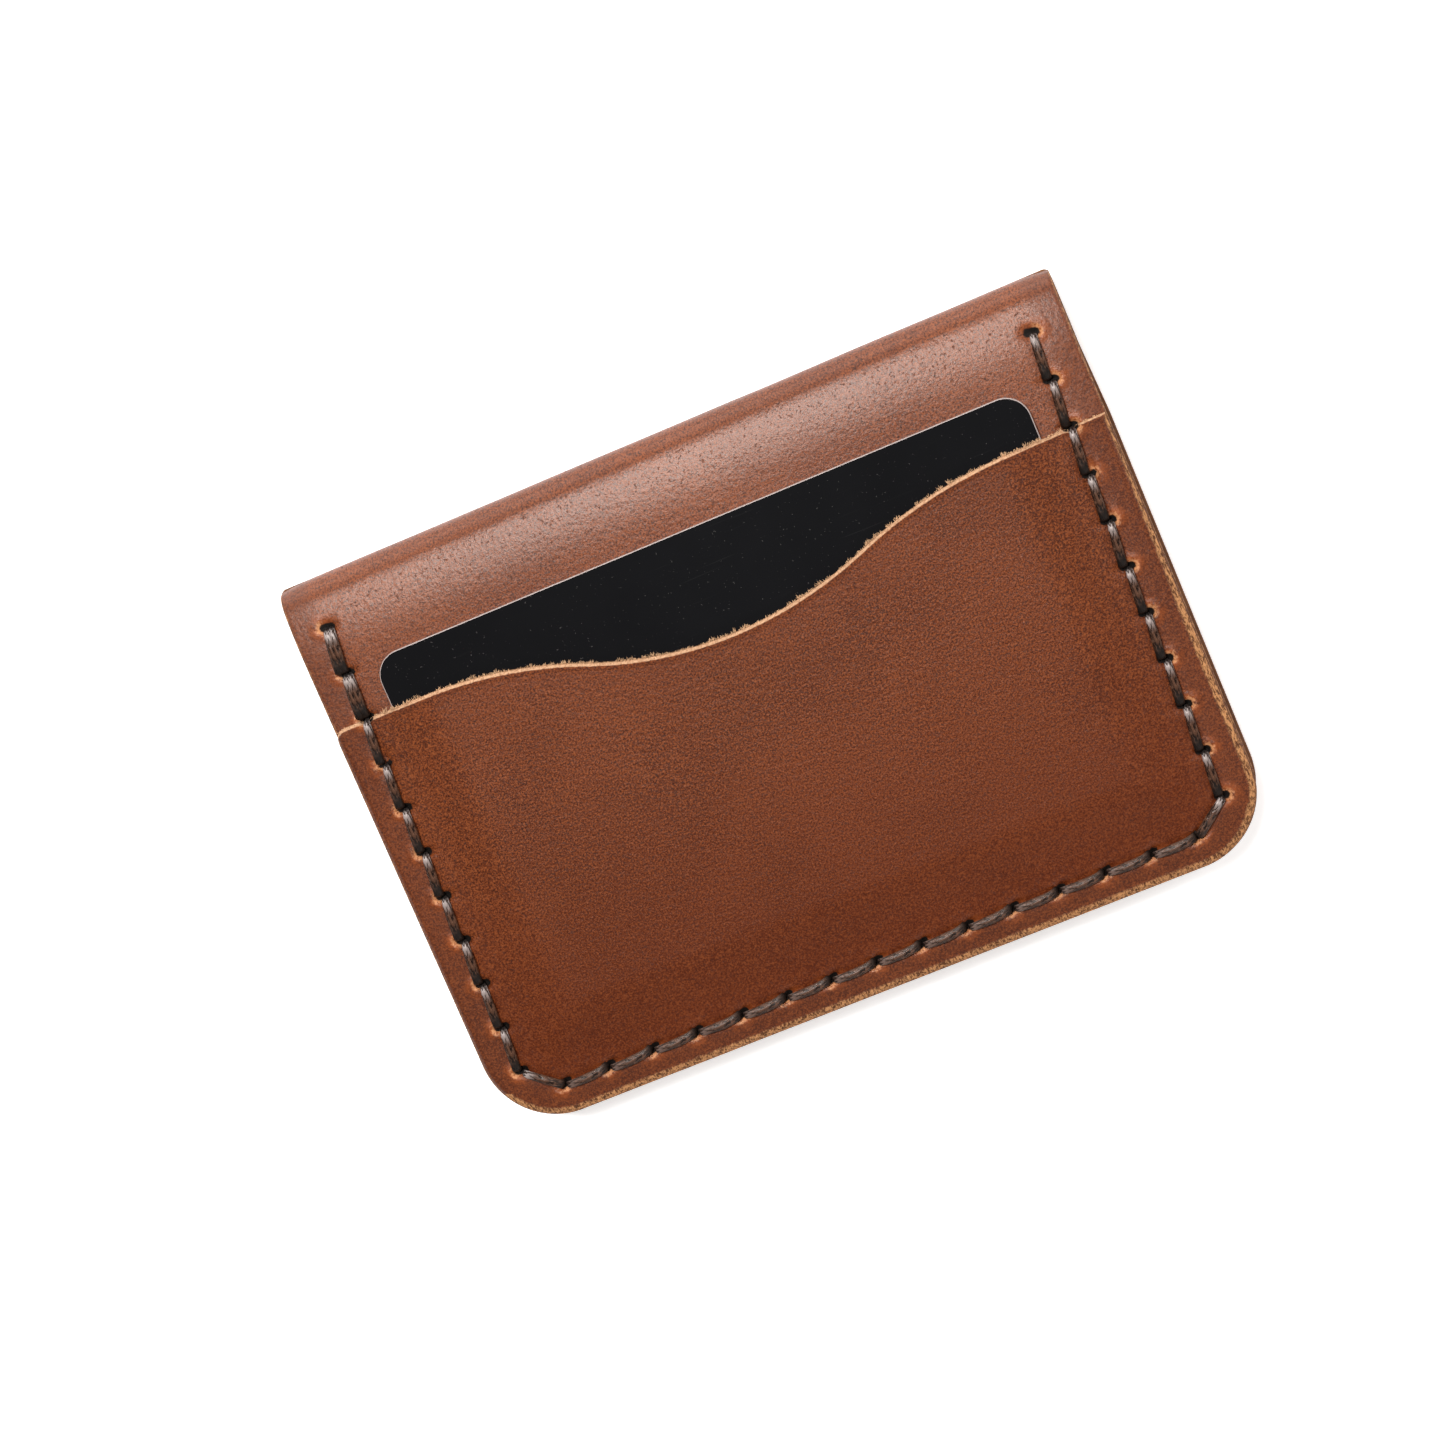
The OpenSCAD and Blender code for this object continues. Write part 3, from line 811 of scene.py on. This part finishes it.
card_mesh.materials.append(card_black.material)
card_mesh.materials.append(card_core.material)
card_mesh.polygons.foreach_set("material_index", [0, 0] + [1] * (walls * ring))
card_mesh.shade_smooth()
card_mesh.set_sharp_from_angle(angle=math.radians(8))
card = bpy.data.objects.new("plastic_card", card_mesh)
scene.collection.objects.link(card)
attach(card, "loose_card")
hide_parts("card")


# ---------------------------------------------------------------- Seam threads
# Waxed thread saddle-stitched by hand round three sides of each cover: a row of stitches on its outside
# and one on its inside, which share their holes. On the back they lie flush in a groove.
thread = Recipe("waxed_thread")
thread_uv = thread.nodes.new("ShaderNodeUVMap").outputs["UV"]

# Twisted strands run along each stitch. It is painted black as shade where it dives into its holes, over a
# longer way in the side columns, and carries a painted pale glint near its start.
strands = thread.noise(thread.scaled(thread_uv, (1.1, 9.0, 1.0)), scale=1.0, detail=2, roughness=0.5,
                       distortion=0.6)
hairs = thread.noise(thread.scaled(thread_uv, (3.0, 34.0, 1.0)), scale=1.0, detail=2, roughness=0.6,
                     distortion=0.4)
along = thread.split(thread_uv)["X"]
in_column = thread.ramp(thread.split(thread.flat_mm())["Y"], seam_row_y / mm + 1.0, seam_row_y / mm + 1.8)
far_end = thread.ramp(thread.math("ADD", in_column, along), 4.2, 5.6)
# Painted shade: the thread is blackened where it dives into its holes
painted_end_shade = thread.math("MAXIMUM", thread.ramp(along, 0.9, 0.35), far_end)
# Painted highlight: a pale glint near each stitch's start, stronger in the side columns
painted_glint = thread.times(thread.ramp(along, 2.6, 0.9), thread.ramp(strands, 0.38, 0.56))
painted_glint = thread.times(painted_glint, thread.math("MULTIPLY_ADD", in_column, 0.50, 0.12))
thread_tone = thread.mix(thread.ramp(strands, 0.38, 0.62), paint(22, 12, 8), paint(82, 55, 41))
thread_tone = thread.stained(thread_tone, thread.ramp(hairs, 0.5, 0.7), share=0.6, stain=paint(126, 90, 72))
thread_tone = thread.mix(painted_glint, thread_tone, paint(192, 180, 176))
thread_tone = thread.stained(thread_tone, painted_end_shade, share=0.9, stain=paint(7, 4, 3))
thread.feed(thread.shader.inputs["Base Color"], thread_tone)
thread_roughness = thread.math("MULTIPLY_ADD", in_column, -0.10, 0.34)
thread_roughness = thread.math("MULTIPLY_ADD", far_end, 0.30, thread_roughness)
thread.feed(thread.shader.inputs["Roughness"], thread_roughness)
thread.shader.inputs["Specular IOR Level"].default_value = 0.3
thread.shader.inputs["Specular Tint"].default_value = (1.0, 0.90, 0.84, 1)
thread_relief = thread.bump(strands, 0.09 * mm, thread.bump(hairs, 0.025 * mm))
thread.feed(thread.shader.inputs["Normal"], thread_relief)

# One stitch, lying along X over the two holes at its ends, as a squashed tube that dives into both.
# It is highest a little before its middle, and fatter towards the end where it was pulled tight.
thread_width = 1.24 * mm
thread_thick = 0.78 * mm
stitch_half = 2.95 * mm
stitch_along = 30
stitch_round = 14
crest = -0.25
uv_length = 6
t = np.linspace(-1, 1, stitch_along)[:, None]
angle = np.linspace(0, 2 * math.pi, stitch_round, endpoint=False)[None, :]
middle_x = stitch_half * np.sin(t * math.pi / 2 * 0.98) * (0.9 + 0.1 * np.abs(t))
from_crest = np.abs(t - crest) / np.where(t > crest, 1 - crest, 1 + crest)
arch = np.cos(math.pi / 2 * from_crest ** 1.6)
dive = np.where(t > 0, 1.2 * np.abs(t) ** 7, 0.9 * np.abs(t) ** 11)
middle_h = thread_thick * (0.66 * arch - 0.14 - dive)
fatness = (0.90 + 0.14 * t) * np.clip(1.2 - np.abs(t) ** 8, 0.4, 1)
ply = 1 + 0.06 * np.cos(4 * angle - 5 * t)
stitch_x = middle_x + 0.3 * thread_thick * np.sin(angle) * np.sign(t) * np.abs(t) ** 5
stitch_y = thread_width / 2 * fatness * ply * np.cos(angle)
stitch_h = middle_h + thread_thick / 2 * fatness * ply * np.sin(angle)
points = np.stack((stitch_x, stitch_y, stitch_h), -1).reshape(-1, 3)
number = np.arange(stitch_along * stitch_round).reshape(stitch_along, stitch_round)
ahead = np.roll(number, -1, 1)
faces = np.stack((number[:-1], ahead[:-1], ahead[1:], number[1:]), -1).reshape(-1, 4).tolist()
faces += [number[0, ::-1].tolist(), number[-1].tolist()]
stitch_mesh = bpy.data.meshes.new("stitch")
stitch_mesh.from_pydata(points.tolist(), [], faces)
stitch_uv = stitch_mesh.uv_layers.new(name="UVMap")
for polygon in stitch_mesh.polygons:
    corners = [stitch_mesh.loops[i].vertex_index for i in polygon.loop_indices]
    at_seam = max(corner % stitch_round for corner in corners) == stitch_round - 1
    for i, corner in zip(polygon.loop_indices, corners):
        row, column = divmod(corner, stitch_round)
        if at_seam and column == 0:
            column = stitch_round
        stitch_uv.data[i].uv = (row / (stitch_along - 1) * uv_length, column / stitch_round)
stitch_mesh.shade_smooth()


def repeat_tree(name):
    """Nodes that set one copy of a piece on every point, turned and stretched as the point says."""
    tree = bpy.data.node_groups.new(name, "GeometryNodeTree")
    for key, kind in (("Points", "Geometry"), ("Piece", "Object"), ("Material", "Material"),
                      ("Sway", "Vector"), ("Seed", "Int")):
        tree.interface.new_socket(key, in_out="INPUT", socket_type="NodeSocket" + kind)
    tree.interface.new_socket("Result", in_out="OUTPUT", socket_type="NodeSocketGeometry")
    given = tree.nodes.new("NodeGroupInput").outputs
    result = tree.nodes.new("NodeGroupOutput")
    piece = tree.nodes.new("GeometryNodeObjectInfo")
    said = {}
    for key in ("turn", "stretch"):
        node = tree.nodes.new("GeometryNodeInputNamedAttribute")
        node.data_type = "FLOAT_VECTOR"
        node.inputs["Name"].default_value = key
        said[key] = node.outputs["Attribute"]
    least = tree.nodes.new("ShaderNodeVectorMath")
    least.operation = "SCALE"
    least.inputs["Scale"].default_value = -1.0
    chance = tree.nodes.new("FunctionNodeRandomValue")
    chance.data_type = "FLOAT_VECTOR"
    total = tree.nodes.new("ShaderNodeVectorMath")
    total.operation = "ADD"
    copies = tree.nodes.new("GeometryNodeInstanceOnPoints")
    real = tree.nodes.new("GeometryNodeRealizeInstances")
    painted = tree.nodes.new("GeometryNodeSetMaterial")
    link = tree.links.new
    link(given["Piece"], piece.inputs["Object"])
    link(given["Sway"], least.inputs[0])
    link(least.outputs[0], chance.inputs["Min"])
    link(given["Sway"], chance.inputs["Max"])
    link(given["Seed"], chance.inputs["Seed"])
    link(said["turn"], total.inputs[0])
    link(chance.outputs["Value"], total.inputs[1])
    link(given["Points"], copies.inputs["Points"])
    link(piece.outputs["Geometry"], copies.inputs["Instance"])
    link(total.outputs[0], copies.inputs["Rotation"])
    link(said["stretch"], copies.inputs["Scale"])
    link(copies.outputs["Instances"], real.inputs["Geometry"])
    link(real.outputs["Geometry"], painted.inputs["Geometry"])
    link(given["Material"], painted.inputs["Material"])
    link(painted.outputs["Geometry"], result.inputs["Result"])
    return tree


def repeated(name, tree, piece_mesh, places, turns, stretches, material, sway, seed):
    """A plain mesh of copies of piece_mesh, one at each place, each turned by up to sway either way."""
    points = bpy.data.meshes.new(name + "_points")
    points.vertices.add(len(places))
    points.vertices.foreach_set("co", np.asarray(places, np.float32).ravel())
    for key, values in (("turn", turns), ("stretch", stretches)):
        attribute = points.attributes.new(key, "FLOAT_VECTOR", "POINT")
        attribute.data.foreach_set("vector", np.asarray(values, np.float32).ravel())
    piece = bpy.data.objects.new(name + "_piece", piece_mesh)
    holder = bpy.data.objects.new(name + "_points", points)
    scene.collection.objects.link(piece)
    scene.collection.objects.link(holder)
    modifier = holder.modifiers.new("repeat", "NODES")
    modifier.node_group = tree
    given = {item.name: item.identifier for item in tree.interface.items_tree if item.in_out == "INPUT"}
    modifier[given["Piece"]] = piece
    modifier[given["Material"]] = material
    modifier[given["Sway"]] = sway
    modifier[given["Seed"]] = seed
    bpy.context.view_layer.update()
    made = bpy.data.meshes.new_from_object(holder.evaluated_get(bpy.context.evaluated_depsgraph_get()))
    made.name = name
    bpy.data.objects.remove(holder)
    bpy.data.objects.remove(piece)
    return made


def points_of(mesh):
    flat = np.empty(len(mesh.vertices) * 3, np.float32)
    mesh.vertices.foreach_get("co", flat)
    return flat.reshape(-1, 3)


def settle(mesh, place, mirrored):
    """Moves a mesh built over flat leather to its place on the wallet."""
    flat = points_of(mesh)
    mesh.attributes.new("flat_place", "FLOAT_VECTOR", "POINT").data.foreach_set("vector", flat.ravel())
    mesh.vertices.foreach_set("co", place(flat[:, 0], flat[:, 1], flat[:, 2]).astype(np.float32).ravel())
    if mirrored:
        mesh.flip_normals()
    mesh.update()
    mesh.shade_smooth()


# Each end of a stitch lies a little off its hole. The first stitches are doubled, side by side.
row_ends = (0.15, -0.20), (-0.10, -0.16)
column_ends = (0.14, -0.16), (-0.40, 0.0)
row_thick = 0.99
inside_thick = 0.9, 0.8
row_band = 1.2 * mm
row_bow = 0.10 * mm
row_hook = 0.30 * mm
step_up = pocket_t - 0.05 * mm
step_up_from = 0.5 * mm
step_up_run = 1.1 * mm
outside_above = -0.5 * mm
doubled_count = 2
doubled_beside = (-0.32 * mm, 0.30 * mm)
thread_sway = (0.06, 0.0, 0.03)
repeat = repeat_tree("repeat_on_points")
for body, side, seed in (("front", 1, 5), ("back", -1, 6)):
    places, turns, stretches = [], [], []
    outside = shell_t / 2 if side > 0 else shell_t / 2 - groove_depth
    inside = -(shell_t / 2 + pocket_t)
    for k, (a, b) in enumerate(zip(stitch_holes[:-1], stitch_holes[1:])):
        # The right column is laid from the fold downwards, as the left one is
        if b[0] > 0 and b[1] > a[1]:
            a, b = b, a
        in_row = abs(b[0] - a[0]) > abs(b[1] - a[1])
        off_start, off_end = row_ends if in_row else column_ends
        start = a + np.array(off_start) * mm
        end = b + np.array(off_end) * mm
        run = end - start
        middle = (start + end) / 2
        direction = math.atan2(run[1], run[0])
        length = math.hypot(*run) / stitch_pitch
        thick = row_thick if in_row else 1.0
        for offset in doubled_beside if k < doubled_count else (0.0,):
            places.append((middle[0] + offset, middle[1], outside))
            turns.append((0, 0, direction))
            stretches.append((length, thick, thick))
        places.append((middle[0], middle[1], inside))
        turns.append((math.pi, 0, direction))
        stretches.append((length, *inside_thick))
    mesh = repeated(f"{body}_seam", repeat, stitch_mesh, places, turns, stretches, thread.material,
                    thread_sway, seed)
    if side > 0:
        # Stitches in the row bow and hook a little, and those over the outer pocket lie on top of it
        flat = points_of(mesh)
        in_row = (flat[:, 1] < seam_row_y + row_band) & (np.abs(flat[:, 0]) < seam_row_half)
        phase = np.mod(flat[:, 0] + seam_row_half, row_pitch) / row_pitch
        flat[:, 1] += in_row * (row_hook * phase ** 6 - row_bow * np.sin(math.pi * phase))
        climb = np.clip((pocket_high.y + step_up_from - flat[:, 1]) / step_up_run, 0, 1)
        climb = climb * climb * (3 - 2 * climb)
        flat[:, 2] += (flat[:, 2] > outside_above) * step_up * climb
        mesh.vertices.foreach_set("co", flat.ravel())
    settle(mesh, over_cover(side), mirrored=side < 0)
    seam = bpy.data.objects.new(f"{body}_seam", mesh)
    scene.collection.objects.link(seam)
    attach(seam, f"{body}_cover")
    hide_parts(f"{body}_seam_thread")


# ---------------------------------------------------------------- Mouth fibres
# Loose fibres of the raw core stand off the hand-cut mouth of the outer pocket, over the card. They
# are longest in clumps, short outside the seam, and missing where it crosses the mouth.
fibre_paint = Recipe("leather_fibres")
fibre_paint.shader.inputs["Base Color"].default_value = paint(216, 170, 128)
fibre_paint.shader.inputs["Roughness"].default_value = 0.85

# One fibre: a three-sided hair, given as stations along it of reach, height and thickness
fibre_length = 0.40 * mm
fibre_r = 0.03 * mm
fibre_sides = 3
fibre_stations = (-0.25, -0.1, 1.0), (0.3, 0.12, 1.1), (0.7, 0.1, 0.8), (1.0, -0.08, 0.2)
fibre_points = []
for reach, up, thick in fibre_stations:
    for corner in range(fibre_sides):
        turn = corner * 2 * math.pi / fibre_sides + 0.5
        fibre_points.append((thick * fibre_r * math.cos(turn), reach * fibre_length,
                             up * fibre_length + thick * fibre_r * math.sin(turn)))
fibre_rings = np.arange(len(fibre_points)).reshape(-1, fibre_sides)
fibre_faces = [fibre_rings[0].tolist(), fibre_rings[-1, ::-1].tolist()]
for near, far in zip(fibre_rings[:-1], fibre_rings[1:]):
    fibre_faces += np.stack((near, far, np.roll(far, -1), np.roll(near, -1)), 1).tolist()
fibre_mesh = bpy.data.meshes.new("fibre")
fibre_mesh.from_pydata(fibre_points, [], fibre_faces)

fibre_count = 1500
fibre_end_room = 0.5 * mm
fibre_root = 0.03 * mm
seam_gap = 0.6 * mm
seam_gap_fade = 0.4 * mm
outside_seam_share = 0.45
fibre_draw = np.random.default_rng(21)
fibre_x = fibre_draw.uniform(-pocket_half + fibre_end_room, pocket_half - fibre_end_room, fibre_count)
edge_y = pocket_mouth(fibre_x)
edge_turn = np.arctan2(pocket_mouth(fibre_x + 0.1 * mm) - edge_y, 0.1 * mm)
fibre_h = (pocket_lift + card_space * bulge_over_card(fibre_x, np.minimum(edge_y, 0)) + pocket_t
           - fibre_draw.uniform(0.35, 1.05, fibre_count) * mm)
clumps = np.sin(fibre_x / mm * 1.7) + np.sin(fibre_x / mm * 4.3 + 1) + np.sin(fibre_x / mm * 0.61 + 2)
beside_seam = np.clip((np.abs(np.abs(fibre_x) - seam_x) - seam_gap) / seam_gap_fade, 0, 1)
long = fibre_draw.uniform(0.35, 1.0, fibre_count) * (0.9 + 0.42 * clumps) * beside_seam
long = np.where(np.abs(fibre_x) > seam_x, outside_seam_share * long, long)
fibre_places = np.stack((fibre_x, edge_y - fibre_root, fibre_h), 1)
fibre_turns = np.stack((fibre_draw.uniform(-0.35, 0.3, fibre_count), 0 * fibre_x, edge_turn), 1)
fibre_sizes = np.stack((np.ones(fibre_count), np.clip(long, 0.12, 1.7), np.ones(fibre_count)), 1)
mouth_mesh = repeated("mouth_fibres", repeat, fibre_mesh, fibre_places, fibre_turns, fibre_sizes,
                      fibre_paint.material, sway=(0.15, 0.5, 0.6), seed=9)
settle(mouth_mesh, over_cover(1), mirrored=False)
mouth_fibres = bpy.data.objects.new("mouth_fibres", mouth_mesh)
scene.collection.objects.link(mouth_fibres)
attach(mouth_fibres, "front_cover")
